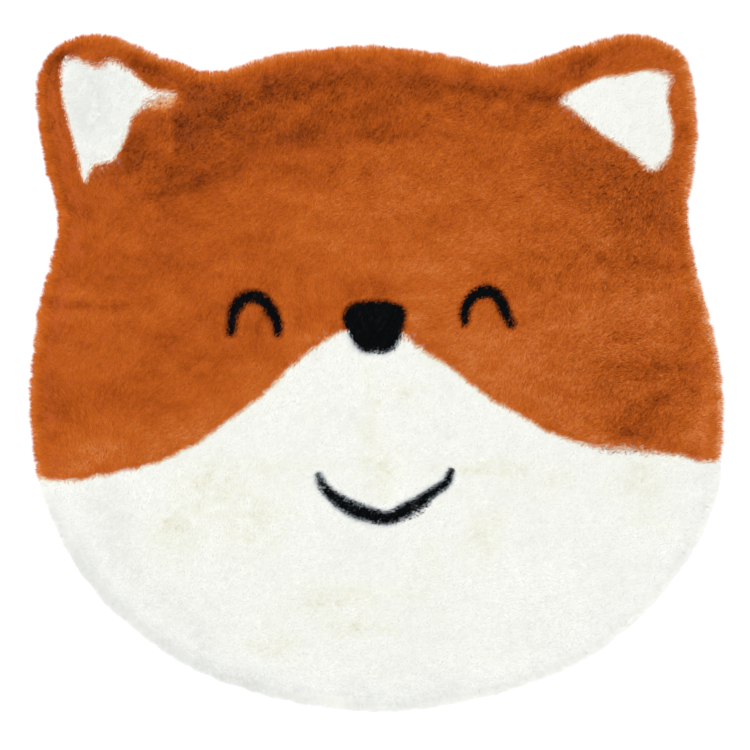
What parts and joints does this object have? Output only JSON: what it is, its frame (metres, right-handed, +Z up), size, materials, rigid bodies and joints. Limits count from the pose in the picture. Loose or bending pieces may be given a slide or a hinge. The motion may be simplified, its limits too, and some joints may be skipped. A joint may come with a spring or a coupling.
{
  "type": "animal shaped kids rug",
  "caption": "Flat plush fur rug in the outline of a fox's head, with rounded ears, a soft lumpy pile and small locks of pile round its rim.",
  "frame": {"origin": "on the surface the rug lies on, under the centre of its bounding box", "axes": "+X to the right across the face, +Y up the face towards the ears, +Z up out of the pile"},
  "size_m": [0.9, 0.88, 0.0203],
  "materials": {
    "plush_fur": "soft dense pile about 15 mm deep, dyed orange with white and black areas"
  },
  "bodies": {
    "root": {"fur_rug": "plush_fur"}
  },
  "joints": []
}
